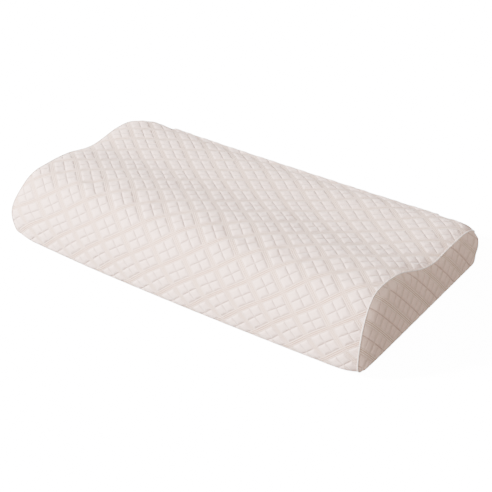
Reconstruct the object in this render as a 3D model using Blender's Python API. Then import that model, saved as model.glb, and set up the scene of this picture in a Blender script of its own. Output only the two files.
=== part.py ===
"""Contour bed pillow: a moulded foam core in a knit liner, inside a quilted, zipped cover.

Frame: metres, +Z up. X runs along the pillow's length, Y across its depth (the high front lobe is at -Y,
the low back lobe at +Y), and the origin is the centre of the footprint on the surface the pillow lies on.
"""

import math

import bmesh
import bpy

# ---- overall sizes -------------------------------------------------------------------------------------------
LENGTH = 0.600
DEPTH = 0.300
FRONT_CREST_Z = 0.104
VALLEY_Z = 0.0725
BACK_CREST_Z = 0.0745

# ---- cross-section: where each feature sits across the depth ---------------------------------------------------
FRONT_FOOT_Y = -0.1315  # where the underside starts to curl up
FRONT_NOSE_Z = 0.0180  # height of the foremost point
FRONT_CREST_Y = -0.0880
VALLEY_Y = 0.0480
BACK_CREST_Y = 0.0990
BACK_NOSE_Z = 0.0500
BACK_FOOT_Y = 0.1275
ROUND = 0.60  # fullness of the corner arcs (0.552 is a circle)
LOBE = 0.50  # fullness of the two lobes
WAVE = 0.45  # how long the slopes stay level at crest and valley
SECTION_STEPS = (4, 7, 7, 4, 6, 5)  # points on each arc of the section

# ---- ends ----------------------------------------------------------------------------------------------------
END_ROUND_X = 0.040  # length over which the section draws in towards an end
END_ROUND_IN = 0.011  # how far it would draw in at the very end
SEAM_X = 0.292  # the end seam
DOME = 0.0045  # how far an end panel stands out in its middle

# ---- layers --------------------------------------------------------------------------------------------------
GAP = 0.0004
COVER_T = 0.0030
LINER_T = 0.0008
PANEL_T = 0.0030
SEAM_R = 0.0007

# ---- zip in the back long side ---------------------------------------------------------------------------------
ZIP_Z = 0.0400
ZIP_HALF = 0.2300  # half of the coil's length
SLOT_HALF_X = 0.2345
SLOT_HALF_Z = 0.0072
CHAIN_GAP = 0.0007  # half of the clear gap between the two coils, where the slider's neck runs
COIL_R = 0.00075
TAPE_W = 0.0060
TAPE_T = 0.0005
SLIDER_L = 0.0095
SLIDER_W = 0.0076
PLATE_T = 0.0010
NECK_T = 0.0008
NECK_L = 0.0035
EYE_IN = 0.0014
EYE_OUT = 0.0023
EYE_W = 0.0016
PULL_L = 0.0250
PULL_W = 0.0062
PULL_T = 0.0010
PULL_WINDOW_L = 0.0042
PULL_WINDOW_W = 0.0030
THREAD_R = 0.00035
LABEL_W = 0.0260
LABEL_H = 0.0210
LABEL_T = 0.0004


def clear_scene():
    for obj in list(bpy.data.objects):
        bpy.data.objects.remove(obj, do_unlink=True)


def material(name, colour, roughness, metallic=0.0, sheen=0.0):
    mat = bpy.data.materials.new(name)
    mat.use_nodes = True
    shader = mat.node_tree.nodes["Principled BSDF"]
    shader.inputs["Base Color"].default_value = (*colour, 1.0)
    shader.inputs["Roughness"].default_value = roughness
    shader.inputs["Metallic"].default_value = metallic
    shader.inputs["Sheen Weight"].default_value = sheen
    return mat


def add_object(name, mesh, mat, parent=None):
    obj = bpy.data.objects.new(name, mesh)
    bpy.context.scene.collection.objects.link(obj)
    if mat is not None:
        mesh.materials.append(mat)
    if parent is not None:
        obj.parent = parent
    return obj


def bezier(p0, angle0, p1, angle1, reach0, reach1, steps):
    """Points of a cubic arc from p0 (included) to p1 (left out), leaving at angle0 and arriving at angle1."""
    c0 = (p0[0] + reach0 * math.cos(angle0), p0[1] + reach0 * math.sin(angle0))
    c1 = (p1[0] - reach1 * math.cos(angle1), p1[1] - reach1 * math.sin(angle1))
    out = []
    for i in range(steps):
        t = i / steps
        a, b, c, d = (1 - t) ** 3, 3 * t * (1 - t) ** 2, 3 * t * t * (1 - t), t**3
        out.append(
            (
                a * p0[0] + b * c0[0] + c * c1[0] + d * p1[0],
                a * p0[1] + b * c0[1] + c * c1[1] + d * p1[1],
            )
        )
    return out


def section(inset, scale=1):
    """The closed cross-section (y, z), drawn in by inset on every side: round the front, over the wave, down the back."""
    up, level, down, under = math.pi / 2, 0.0, -math.pi / 2, math.pi
    front, back = -DEPTH / 2 + inset, DEPTH / 2 - inset
    keys = [
        (FRONT_FOOT_Y, inset),
        (front, FRONT_NOSE_Z),
        (FRONT_CREST_Y, FRONT_CREST_Z - inset),
        (VALLEY_Y, VALLEY_Z - inset),
        (BACK_CREST_Y, BACK_CREST_Z - inset),
        (back, BACK_NOSE_Z),
        (BACK_FOOT_Y, inset),
    ]
    angles = [under, up, level, level, level, down, -under]
    fullness = [
        (ROUND, ROUND),
        (LOBE, LOBE),
        (WAVE, WAVE),
        (0.40, 0.40),
        (0.55, 0.62),
        (0.62, 0.62),
    ]
    points = []
    for k, steps in enumerate(SECTION_STEPS):
        p, q = keys[k], keys[k + 1]
        dy, dz = abs(q[0] - p[0]), abs(q[1] - p[1])
        level_start = angles[k] in (level, under)
        level_end = angles[k + 1] in (level, -under)
        reach0 = fullness[k][0] * (dy if level_start else dz)
        reach1 = fullness[k][1] * (dy if level_end else dz)
        points += bezier(p, angles[k], q, angles[k + 1], reach0, reach1, steps * scale)
    points.append(keys[-1])
    for i in range(1, 4 * scale):
        t = i / (4 * scale)
        points.append((keys[-1][0] + (keys[0][0] - keys[-1][0]) * t, inset))
    return points


def end_inset(x):
    """How far the section has drawn in at x, a quarter ellipse towards each end."""
    a = (abs(x) - (LENGTH / 2 - END_ROUND_X)) / END_ROUND_X
    return END_ROUND_IN * (1 - math.sqrt(max(0.0, 1 - a * a))) if a > 0 else 0.0


def stations(half, inner=4):
    """X positions from -half to half: even along the body, closer where the ends draw in."""
    body = LENGTH / 2 - END_ROUND_X
    out = [body * (2 * i / inner - 1) for i in range(inner + 1)]
    for share in (0.45, 0.75, 1.0):
        x = body + (half - body) * share
        out = [-x, *out, x]
    return out


def loop(bm, points, x):
    return [bm.verts.new((x, y, z)) for y, z in points]


def bridge(bm, a, b):
    n = len(a)
    for i in range(n):
        j = (i + 1) % n
        bm.faces.new((a[i], a[j], b[j], b[i]))


def finish_mesh(name, bm, smooth=True):
    bmesh.ops.recalc_face_normals(bm, faces=bm.faces)
    mesh = bpy.data.meshes.new(name)
    bm.to_mesh(mesh)
    bm.free()
    if smooth:
        mesh.shade_smooth()
        mesh.set_sharp_from_angle(angle=math.radians(35))
    return mesh


def solid_body(name, half, inset):
    """A closed block with the pillow's shape, drawn in by inset."""
    bm = bmesh.new()
    loops = [loop(bm, section(end_inset(x) + inset), x) for x in stations(half)]
    for a, b in zip(loops, loops[1:]):
        bridge(bm, a, b)
    bm.faces.new(loops[0])
    bm.faces.new(loops[-1])
    return finish_mesh(name, bm)


def sleeve(name, half, inset, thickness, inner=4):
    """A tube with the pillow's shape, open at both ends."""
    bm = bmesh.new()
    outer = [loop(bm, section(end_inset(x) + inset), x) for x in stations(half, inner)]
    lining = [
        loop(bm, section(end_inset(x) + inset + thickness), x)
        for x in stations(half, inner)
    ]
    for rows in (outer, lining):
        for a, b in zip(rows, rows[1:]):
            bridge(bm, a, b)
    bridge(bm, outer[0], lining[0])
    bridge(bm, outer[-1], lining[-1])
    return finish_mesh(name, bm)


def end_plate(name, x0, side, inset, thickness, dome):
    """A panel across one end, standing out by dome in its middle."""
    bm = bmesh.new()
    rim = section(inset)
    cy = sum(p[0] for p in rim) / len(rim)
    cz = sum(p[1] for p in rim) / len(rim)

    def ring(share, x):
        return loop(
            bm, [(cy + (y - cy) * share, cz + (z - cz) * share) for y, z in rim], x
        )

    shares = (1.0, 0.86, 0.5) if dome else (1.0,)
    faces_out = [
        ring(s, side * (x0 + thickness + dome * (1 - s**4))) for s in shares
    ]
    faces_in = [ring(s, side * (x0 + dome * (1 - s**4))) for s in shares]
    for rows in (faces_out, faces_in):
        for a, b in zip(rows, rows[1:]):
            bridge(bm, a, b)
        if dome:
            tip = bm.verts.new(
                (rows[-1][0].co.x + side * dome * 0.0625, cy, cz)
            )
            last = rows[-1]
            for i in range(len(last)):
                bm.faces.new((last[i], last[(i + 1) % len(last)], tip))
        else:
            bm.faces.new(rows[-1])
    bridge(bm, faces_out[0], faces_in[0])
    return finish_mesh(name, bm)


def seam_ring(name, x, inset, radius, sides=6):
    """A thin bead that follows the outline of an end."""
    bm = bmesh.new()
    line = section(inset)
    n = len(line)
    loops = []
    for i, (y, z) in enumerate(line):
        ty = line[(i + 1) % n][0] - line[i - 1][0]
        tz = line[(i + 1) % n][1] - line[i - 1][1]
        size = math.hypot(ty, tz)
        ny, nz = -tz / size, ty / size
        ring = []
        for k in range(sides):
            a = 2 * math.pi * k / sides
            ring.append(
                bm.verts.new(
                    (
                        x + radius * math.sin(a),
                        y + ny * radius * math.cos(a),
                        z + nz * radius * math.cos(a),
                    )
                )
            )
        loops.append(ring)
    for i in range(n):
        bridge(bm, loops[i], loops[(i + 1) % n])
    return finish_mesh(name, bm)


def box_mesh(name, low, high, bevel=0.0):
    bm = bmesh.new()
    bmesh.ops.create_cube(bm, size=1.0)
    for v in bm.verts:
        for k in range(3):
            v.co[k] = (low[k] + high[k]) / 2 + v.co[k] * (high[k] - low[k])
    if bevel:
        bmesh.ops.bevel(
            bm, geom=list(bm.edges), offset=bevel, segments=1, affect="EDGES"
        )
    return finish_mesh(name, bm, smooth=False)


def rod_mesh(name, x0, x1, y, z, radius, sides):
    """A straight round bar along X."""
    bm = bmesh.new()
    ends = []
    for x in (x0, x1):
        ends.append(
            [
                bm.verts.new(
                    (
                        x,
                        y + radius * math.cos(2 * math.pi * k / sides),
                        z + radius * math.sin(2 * math.pi * k / sides),
                    )
                )
                for k in range(sides)
            ]
        )
    bridge(bm, ends[0], ends[1])
    bm.faces.new(ends[0])
    bm.faces.new(ends[1])
    return finish_mesh(name, bm)


def prism_mesh(name, outline, z0, z1):
    """A flat outline (x, y), thickened from z0 to z1."""
    bm = bmesh.new()
    low = [bm.verts.new((x, y, z0)) for x, y in outline]
    high = [bm.verts.new((x, y, z1)) for x, y in outline]
    bridge(bm, low, high)
    bm.faces.new(low)
    bm.faces.new(high)
    return finish_mesh(name, bm, smooth=False)


def boolean(obj, other, operation):
    """Joins or cuts, and leaves the helper out of the model."""
    other.hide_render = True
    other.display_type = "WIRE"
    mod = obj.modifiers.new(operation.lower() + "_" + other.name, "BOOLEAN")
    mod.operation = operation
    mod.object = other
    mod.solver = "EXACT"
    return mod


def back_surface_y(z):
    """Y of the cover's outer surface on the back at height z, below the widest point."""
    points = section(0.0, 8)
    best = None
    for (y0, z0), (y1, z1) in zip(points, points[1:]):
        if y0 > DEPTH / 4 and min(z0, z1) <= z <= max(z0, z1) and abs(z1 - z0) > 1e-9:
            y = y0 + (y1 - y0) * (z - z0) / (z1 - z0)
            best = y if best is None else max(best, y)
    return best


clear_scene()

knit = material("quilted_knit", (0.80, 0.745, 0.70), 0.85, sheen=0.3)
knit_end = material("quilted_knit_end", (0.78, 0.72, 0.67), 0.85, sheen=0.3)
welt = material("seam_welt", (0.84, 0.80, 0.76), 0.8, sheen=0.2)
foam_mat = material("memory_foam", (0.86, 0.82, 0.66), 0.9)
liner_mat = material("liner_knit", (0.86, 0.86, 0.85), 0.9)
tape_mat = material("zip_tape", (0.80, 0.76, 0.72), 0.8)
coil_mat = material("zip_coil", (0.82, 0.79, 0.75), 0.45)
metal = material("zip_metal", (0.72, 0.71, 0.70), 0.3, metallic=1.0)
thread = material("sewing_thread", (0.84, 0.79, 0.74), 0.6)
label_mat = material("satin_label", (0.88, 0.87, 0.86), 0.5, sheen=0.4)

# ---- core and liner ----------------------------------------------------------------------------------------------
liner_inset = COVER_T + GAP
core_inset = liner_inset + LINER_T + GAP
core_half = SEAM_X - 0.0036
add_object("foam_core", solid_body("foam_core", core_half, core_inset), foam_mat)
add_object(
    "inner_liner_sleeve",
    sleeve("inner_liner_sleeve", core_half, liner_inset, LINER_T),
    liner_mat,
)
for side, word in ((-1, "left"), (1, "right")):
    add_object(
        f"inner_liner_end_{word}",
        end_plate(
            f"inner_liner_end_{word}",
            core_half + GAP,
            side,
            end_inset(core_half) + liner_inset + GAP,
            LINER_T,
            0.0,
        ),
        liner_mat,
    )

# ---- cover -------------------------------------------------------------------------------------------------------
wrap = add_object("cover_wrap", sleeve("cover_wrap", SEAM_X, 0.0, COVER_T), knit)
slot = add_object(
    "zip_slot_cutter",
    box_mesh(
        "zip_slot_cutter",
        (-SLOT_HALF_X, DEPTH / 2 - 0.02, ZIP_Z - SLOT_HALF_Z),
        (SLOT_HALF_X, DEPTH / 2 + 0.02, ZIP_Z + SLOT_HALF_Z),
    ),
    None,
)
boolean(wrap, slot, "DIFFERENCE")

seam_inset = end_inset(SEAM_X)
panel_inset = seam_inset + 0.0018
for side, word in ((-1, "left"), (1, "right")):
    add_object(
        f"cover_end_panel_{word}",
        end_plate(
            f"cover_end_panel_{word}",
            SEAM_X + GAP,
            side,
            panel_inset,
            PANEL_T,
            DOME,
        ),
        knit_end,
    )
    add_object(
        f"end_seam_{word}",
        seam_ring(
            f"end_seam_{word}",
            side * (SEAM_X + GAP + SEAM_R),
            panel_inset - GAP - SEAM_R,
            SEAM_R,
        ),
        welt,
    )

# ---- zip ---------------------------------------------------------------------------------------------------------
face_y = back_surface_y(ZIP_Z)
coil_y = face_y - 0.0003
tape_y = coil_y - COIL_R - GAP  # outer face of the tapes
top_y = coil_y + COIL_R + GAP  # inner face of the slider's top plate
axis_y = top_y + PLATE_T + PULL_T / 2 + GAP
slider_x = -ZIP_HALF + SLIDER_L / 2 + 0.0010
SLIDER_TRAVEL = -2 * slider_x

for sign, word in ((1, "upper"), (-1, "lower")):
    inner = ZIP_Z + sign * CHAIN_GAP
    outer = inner + sign * TAPE_W
    add_object(
        f"zip_tape_{word}",
        box_mesh(
            f"zip_tape_{word}",
            (-ZIP_HALF - 0.0035, tape_y - TAPE_T, min(inner, outer)),
            (ZIP_HALF + 0.0035, tape_y, max(inner, outer)),
        ),
        tape_mat,
    )
    add_object(
        f"zip_coil_{word}",
        rod_mesh(
            f"zip_coil_{word}",
            -ZIP_HALF,
            ZIP_HALF,
            coil_y,
            ZIP_Z + sign * (CHAIN_GAP + COIL_R),
            COIL_R,
            8,
        ),
        coil_mat,
    )
    stitch_z = ZIP_Z + sign * (SLOT_HALF_Z + 0.0022)
    add_object(
        f"zip_stitching_{word}",
        rod_mesh(
            f"zip_stitching_{word}",
            -SLOT_HALF_X - 0.002,
            SLOT_HALF_X + 0.002,
            back_surface_y(stitch_z) + GAP + THREAD_R,
            stitch_z,
            THREAD_R,
            6,
        ),
        thread,
    )
for side, word in ((-1, "left"), (1, "right")):
    x0, x1 = sorted((side * (ZIP_HALF + 0.0006), side * (ZIP_HALF + 0.0026)))
    add_object(
        f"zip_end_tack_{word}",
        box_mesh(
            f"zip_end_tack_{word}",
            (x0, tape_y + GAP, ZIP_Z - 0.0042),
            (x1, tape_y + GAP + 0.0011, ZIP_Z + 0.0042),
        ),
        thread,
    )

slider_origin = bpy.data.objects.new("zip_slider_origin", None)
slider_origin.location = (slider_x, axis_y, ZIP_Z)
bpy.context.scene.collection.objects.link(slider_origin)


def local(point):
    """A point of the zip in the slider's own frame."""
    return (point[0] - slider_x, point[1] - axis_y, point[2] - ZIP_Z)


slider = add_object(
    "zip_slider",
    box_mesh(
        "zip_slider",
        local((slider_x - SLIDER_L / 2, top_y, ZIP_Z - SLIDER_W / 2)),
        local((slider_x + SLIDER_L / 2, top_y + PLATE_T, ZIP_Z + SLIDER_W / 2)),
        bevel=0.0003,
    ),
    metal,
    slider_origin,
)
bottom_y = tape_y - TAPE_T - GAP  # outer face of the slider's bottom plate
bottom = add_object(
    "slider_bottom_plate",
    box_mesh(
        "slider_bottom_plate",
        local((slider_x - SLIDER_L / 2, bottom_y - 0.0006, ZIP_Z - 0.0034)),
        local((slider_x + SLIDER_L / 2, bottom_y, ZIP_Z + 0.0034)),
    ),
    None,
    slider_origin,
)
neck = add_object(
    "slider_neck",
    box_mesh(
        "slider_neck",
        local((slider_x - SLIDER_L / 2 + 0.0004, bottom_y - 0.0003, ZIP_Z - NECK_T / 2)),
        local(
            (
                slider_x - SLIDER_L / 2 + 0.0004 + NECK_L,
                top_y + 0.0005,
                ZIP_Z + NECK_T / 2,
            )
        ),
    ),
    None,
    slider_origin,
)
arch = [
    (EYE_OUT * math.cos(math.pi * k / 10), EYE_OUT * math.sin(math.pi * k / 10))
    for k in range(11)
]
foot_y = top_y + PLATE_T - 0.0004 - axis_y
inner_arch = [
    (EYE_IN * math.cos(math.pi * k / 10), EYE_IN * math.sin(math.pi * k / 10))
    for k in range(11)
]
eye = add_object(
    "slider_eye",
    prism_mesh(
        "slider_eye",
        [
            (EYE_OUT, foot_y),
            *arch,
            (-EYE_OUT, foot_y),
            (-EYE_IN, foot_y),
            *reversed(inner_arch),
            (EYE_IN, foot_y),
        ],
        -EYE_W / 2,
        EYE_W / 2,
    ),
    None,
    slider_origin,
)
for helper in (neck, bottom, eye):
    boolean(slider, helper, "UNION")

pull_origin = bpy.data.objects.new("zip_pull_origin", None)
pull_origin.parent = slider_origin
bpy.context.scene.collection.objects.link(pull_origin)
pull = add_object(
    "zip_pull",
    box_mesh(
        "zip_pull",
        (-PULL_T / 2, -PULL_T / 2, -PULL_W / 2),
        (PULL_L, PULL_T / 2, PULL_W / 2),
        bevel=0.00025,
    ),
    metal,
    pull_origin,
)
window = add_object(
    "pull_window_cutter",
    box_mesh(
        "pull_window_cutter",
        (PULL_T / 2, -PULL_T, -PULL_WINDOW_W / 2),
        (PULL_T / 2 + PULL_WINDOW_L, PULL_T, PULL_WINDOW_W / 2),
    ),
    None,
    pull_origin,
)
boolean(pull, window, "DIFFERENCE")

# ---- blank care label, hanging below the zip ------------------------------------------------------------------------
label_top = ZIP_Z - SLOT_HALF_Z - 0.0035
label_y = back_surface_y(label_top) + GAP
label_x = 0.150
add_object(
    "care_label",
    box_mesh(
        "care_label",
        (label_x - LABEL_W / 2, label_y, label_top - LABEL_H),
        (label_x + LABEL_W / 2, label_y + LABEL_T, label_top),
    ),
    label_mat,
)
bpy.context.view_layer.update()
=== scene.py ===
"""Looks of the contour bed pillow: quilted knit cover, seams, zip and foam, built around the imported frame."""

import math

import bpy
import numpy as np
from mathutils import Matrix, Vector


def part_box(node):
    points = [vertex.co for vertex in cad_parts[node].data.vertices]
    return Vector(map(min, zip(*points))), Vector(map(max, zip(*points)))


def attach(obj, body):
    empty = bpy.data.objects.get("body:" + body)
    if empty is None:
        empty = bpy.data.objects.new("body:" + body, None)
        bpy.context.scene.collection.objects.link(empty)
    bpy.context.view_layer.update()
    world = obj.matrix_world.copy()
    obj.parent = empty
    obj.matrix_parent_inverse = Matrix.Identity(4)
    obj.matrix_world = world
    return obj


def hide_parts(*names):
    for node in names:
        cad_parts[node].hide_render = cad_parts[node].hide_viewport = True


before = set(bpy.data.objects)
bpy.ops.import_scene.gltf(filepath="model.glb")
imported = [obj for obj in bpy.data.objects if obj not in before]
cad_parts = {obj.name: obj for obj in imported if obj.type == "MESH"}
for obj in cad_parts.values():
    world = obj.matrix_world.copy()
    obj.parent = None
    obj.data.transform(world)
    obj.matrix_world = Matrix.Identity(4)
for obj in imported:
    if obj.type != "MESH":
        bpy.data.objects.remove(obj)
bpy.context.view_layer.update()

# ------------------------------------------------------------------------------------------------------------------
# Shape of the pillow's outer surface, in metres
# ------------------------------------------------------------------------------------------------------------------
LENGTH = 0.5998
KEYS = dict(
    front_foot=-0.13129,
    front_nose=(-0.15019, 0.01846),
    front_crest=(-0.08774, 0.10173),
    valley=(0.04812, 0.07415),
    back_crest=(0.09896, 0.07416),
    back_nose=(0.14961, 0.04982),
    back_foot=0.12751,
)
HANDLES = (0.52066, 0.52814, 0.58258, 0.47211, 0.5009, 0.37007, 0.40081, 0.51412, 0.58017, 0.63347)
END_LEN = 0.04137  # length over which the surface rounds in towards an end
END_IN = 0.01228
FRONT_BOW = 0.00455  # the front stands out at mid-length
BACK_PULL = 0.0052  # the upper back draws in at mid-length
TOP_SAG = 0.0035
BACK_SAG = 0.0045
SEAM_X = 0.2926
ZIP_Z = 0.040
SLOT_HALF_X = 0.2345
SLOT_HALF_Z = 0.0072

# The knit's diamond lattice: half pitches along the length (m) and round the section (k)
KNOTS = np.array([0.05, 0.0955, 0.143, 0.19, 0.2159, 0.245, 0.27, 0.31, 0.335])
M_AT = np.array([2.6787, 2.457, 2.6341, 2.7653, 2.9341, 3.2044, 3.407, 3.3511, 3.2122])
K_AT = np.array([12.043, 9.9893, 8.02, 6.0854, 4.9979, 3.9935, 2.9583, 0.9085, -0.3936])
BAND = 0.205  # share of a lattice period that is ribbed band
BAND_END = 0.11  # the same for the stitched rows that cross the ribs on the end panels
PUFF = 0.00095  # height of a puffed diamond above its groove

STEP = 0.00142


def smoothstep(x, a, b):
    t = np.clip((x - a) / (b - a), 0, 1)
    return t * t * (3 - 2 * t)


def table(s, xs, ys, left, right):
    """Smooth curve through (xs, ys), straight beyond its ends with the slopes left and right."""
    s = np.asarray(s, float)
    d = np.gradient(ys, xs)
    d[0], d[-1] = left, right
    i = np.clip(np.searchsorted(xs, s) - 1, 0, len(xs) - 2)
    h = xs[i + 1] - xs[i]
    t = np.clip((s - xs[i]) / h, 0, 1)
    out = (
        (2 * t**3 - 3 * t**2 + 1) * ys[i]
        + (t**3 - 2 * t**2 + t) * h * d[i]
        + (-2 * t**3 + 3 * t**2) * ys[i + 1]
        + (t**3 - t**2) * h * d[i + 1]
    )
    out = np.where(s < xs[0], ys[0] + (s - xs[0]) * left, out)
    return np.where(s > xs[-1], ys[-1] + (s - xs[-1]) * right, out)


def lattice(x, s):
    """Lattice coordinates of a point of the main panel: a block's centre is at whole numbers of both."""
    m = table(s, KNOTS, M_AT, 0.0, 0.0) + 37.759 * x + 2.0623 * x * np.clip(s - 0.19, -0.25, 0.2)
    k = table(s, KNOTS, K_AT, -43.6, -46.0) + 0.4499 * x + 1.6447 * x * np.clip(s - 0.19, -0.25, 0.2)
    return (m + k) / 2, (m - k) / 2


def arc(p0, a0, p1, a1, h0, h1, n):
    p0, p1 = np.array(p0, float), np.array(p1, float)
    c0 = p0 + h0 * np.array([math.cos(a0), math.sin(a0)])
    c1 = p1 - h1 * np.array([math.cos(a1), math.sin(a1)])
    t = np.linspace(0, 1, n, endpoint=False)[:, None]
    return (1 - t) ** 3 * p0 + 3 * t * (1 - t) ** 2 * c0 + 3 * t * t * (1 - t) * c1 + t**3 * p1


def make_profile():
    k, h, r = KEYS, HANDLES, math.radians
    p = [
        (k["front_foot"], 0),
        k["front_nose"],
        k["front_crest"],
        k["valley"],
        k["back_crest"],
        k["back_nose"],
        (k["back_foot"], 0),
    ]
    a = [r(180), r(90), 0, 0, 0, r(-90), r(-180)]
    (y0, _), (y1, z1), (y2, z2), (y3, z3), (y4, z4), (y5, z5), (y6, _) = p
    hh = [
        (h[0] * abs(y1 - y0), h[1] * z1),
        (h[2] * abs(z2 - z1), h[3] * abs(y2 - y1)),
        (h[4] * (y3 - y2), h[5] * (y3 - y2)),
        (h[6] * (y4 - y3), h[6] * (y4 - y3)),
        (h[7] * (y5 - y4), h[8] * abs(z4 - z5)),
        (h[9] * z5, h[9] * abs(y5 - y6)),
    ]
    rows = [arc(p[i], a[i], p[i + 1], a[i + 1], *hh[i], 400) for i in range(6)]
    return np.vstack(rows + [np.array([p[6]])])


PROF = make_profile()
CUM = np.r_[0, np.cumsum(np.linalg.norm(np.diff(PROF, axis=0), axis=1))]
ARC = float(CUM[-1])
BOTTOM = KEYS["back_foot"] - KEYS["front_foot"]
CENTRE = PROF.mean(0)
ZMAX = PROF[:, 1].max()
_back = CUM > ARC * 0.8
S_ZIP = float(np.interp(-ZIP_Z, -PROF[_back, 1], CUM[_back]))


def section_point(s):
    """(y, z) at arc position s. 0 is the front foot, ARC the back foot; below 0 it runs back along the underside."""
    s = np.asarray(s, float)
    y = np.interp(s, CUM, PROF[:, 0])
    z = np.interp(s, CUM, PROF[:, 1])
    under = (s < 0) & (s >= -BOTTOM)
    y = np.where(under, KEYS["front_foot"] - s, y)
    z = np.where(under, 0.0, z)
    back = s < -BOTTOM
    s2 = ARC + (s + BOTTOM)
    y = np.where(back, np.interp(s2, CUM, PROF[:, 0]), y)
    z = np.where(back, np.interp(s2, CUM, PROF[:, 1]), z)
    return y, z


def section_normal(s):
    """Inward unit normal of the section at s."""
    e = 0.0006
    ya, za = section_point(s - e)
    yb, zb = section_point(s + e)
    ty, tz = yb - ya, zb - za
    # the outline runs down the back, so a step that crosses the split at the underside still points along it
    n = np.hypot(ty, tz) + 1e-12
    ty, tz = ty / n, tz / n
    return tz, -ty


def end_in(x):
    """How far the section draws in at x, towards an end."""
    over = np.clip((np.abs(x) - (LENGTH / 2 - END_LEN)) / END_LEN, 0, 1)
    return END_IN * (1 - np.sqrt(1 - over * over))


def outer(x, s, inset=0.0):
    """A point of the smooth outer surface, moved inwards by inset."""
    y, z = section_point(s)
    ny, nz = section_normal(s)
    # the back nose is rounder at the ends than the rest of the outline
    s_all = np.where(s < -BOTTOM, ARC + s + BOTTOM, s)
    rounder = 0.60 * np.exp(-(((s_all - 0.385) / 0.030) ** 2)) + 0.10 * np.exp(-(((s_all - 0.445) / 0.016) ** 2))
    ins = end_in(x) * (1 + rounder) + inset
    y = y + ny * ins
    z = z + nz * ins
    # the left end is pressed a little out of shape: its front lobe is lower and fuller in front, its back lobe higher
    left = smoothstep(-x, 0.12, 0.295)
    tip = smoothstep(-x, 0.22, 0.295)
    s_up = np.where(s < 0, 0.0, s)
    z = z - 0.0040 * left * np.exp(-(((s_up - 0.150) / 0.055) ** 2)) * np.clip(z / 0.03, 0, 1)
    z = z + 0.0042 * left * np.exp(-(((s_up - 0.315) / 0.034) ** 2))
    y = y + 0.0036 * left * np.exp(-(((s_up - 0.0) / 0.030) ** 2)) * (s > -0.06) * (1 - smoothstep(-s, 0.0, 0.06))
    x = x - 0.0076 * tip * np.exp(-(((s_up - 0.058) / 0.030) ** 2)) * np.clip(z / 0.02, 0, 1)
    w = 1 - (2 * x / LENGTH) ** 2
    h = np.clip(z / ZMAX, 0, 1)
    high = smoothstep(z, 0.047, 0.064)
    y2 = (
        y
        - FRONT_BOW * w * np.clip((CENTRE[0] - y) / 0.12, 0, 1)
        - BACK_PULL * w * np.clip((y - CENTRE[0]) / 0.12, 0, 1) * high
    )
    z2 = z - TOP_SAG * w * h - BACK_SAG * w * smoothstep(y, 0.01, 0.08) * high
    return np.stack([x + 0 * y, y2, z2], -1)


SEAM_S = np.array([-0.10, 0.0, 0.03, 0.06, 0.09, 0.115, 0.14, 0.17, 0.20, 0.225, 0.26, 0.30, 0.355, 0.375, 0.405, 0.454])
SEAM_AT = np.array(
    [0.2900, 0.2914, 0.2931, 0.2938, 0.2926, 0.2903, 0.2878, 0.2868, 0.2880, 0.2922, 0.2944, 0.2935, 0.2930, 0.2918, 0.2890, 0.2900]
)


def seam_x(s):
    """Where along the length the main panel is sewn to an end panel, at arc position s."""
    s = np.where(s < -BOTTOM, ARC + s + BOTTOM, np.maximum(s, -0.10))
    return table(s, SEAM_S, SEAM_AT, 0.0, 0.0)


def to_seam(x, s):
    """Stretches the end zone so that the last station lies on the seam."""
    f = np.clip((np.abs(x) - 0.235) / (SEAM_X - 0.235), 0, 1)
    return x + np.sign(x) * (seam_x(s) - SEAM_X) * f * f


def cell(d, groove=0.0, band=BAND):
    """Profile of a puffed diamond across itself. d is the distance from the groove in its middle, 0 to 0.5."""
    edge = 0.5 - band / 2
    t = np.clip((d - groove) / (edge - groove), 0, 1)
    return np.clip(1 - np.abs(2 * t - 1) ** 3.4, 0, 1) ** 0.65


def knit_height(u, v, band_v=BAND):
    """Height of the quilted knit, 0 in a groove to about 1 on a puffed diamond."""
    du = np.abs(u - np.round(u))
    dv = np.abs(v - np.round(v))
    cu, cv = cell(du), cell(dv, band=band_v)
    puff = np.minimum(cu, cv) * (0.85 + 0.15 * np.maximum(cu, cv))
    tu = np.clip((0.5 - du) / (BAND / 2), 0, 1.6)
    tv = np.clip((0.5 - dv) / (band_v / 2), 0, 1.6)
    band = np.maximum(1 - smoothstep(tu, 0.75, 1.15), 1 - smoothstep(tv, 0.75, 1.15))
    rib_u = (0.5 + 0.5 * np.cos(3 * math.pi * np.clip(tu, 0, 1))) * (tu < 1)
    rib_v = (0.5 + 0.5 * np.cos(3 * math.pi * np.clip(tv, 0, 1))) * (tv < 1)
    rib = np.where(tu < 1, rib_u, rib_v)
    return puff * (1 - band) + band * (0.26 + 0.06 * rib)


def new_mesh(name, verts, faces, mats=(), smooth=True):
    me = bpy.data.meshes.new(name)
    me.from_pydata([tuple(p) for p in verts], [], faces)
    me.validate()
    me.update()
    if smooth:
        me.shade_smooth()
    ob = bpy.data.objects.new(name, me)
    bpy.context.scene.collection.objects.link(ob)
    for m in mats:
        me.materials.append(m)
    return ob


def grid_mesh(name, verts, quads, uvs=None, mats=()):
    """A mesh from numpy arrays of points and quads. uvs maps a layer's name to one (u, v) per point."""
    me = bpy.data.meshes.new(name)
    me.vertices.add(len(verts))
    me.vertices.foreach_set("co", np.ascontiguousarray(verts, np.float32).ravel())
    nq = len(quads)
    me.loops.add(nq * 4)
    me.loops.foreach_set("vertex_index", np.ascontiguousarray(quads, np.int32).ravel())
    me.polygons.add(nq)
    me.polygons.foreach_set("loop_start", np.arange(0, nq * 4, 4, dtype=np.int32))
    me.polygons.foreach_set("loop_total", np.full(nq, 4, np.int32))
    me.update(calc_edges=True)
    for key, uv in (uvs or {}).items():
        layer = me.uv_layers.new(name=key)
        layer.data.foreach_set("uv", np.ascontiguousarray(uv[quads.ravel()], np.float32).ravel())
    me.shade_smooth()
    me.validate()
    ob = bpy.data.objects.new(name, me)
    bpy.context.scene.collection.objects.link(ob)
    for m in mats:
        me.materials.append(m)
    return ob


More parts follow.
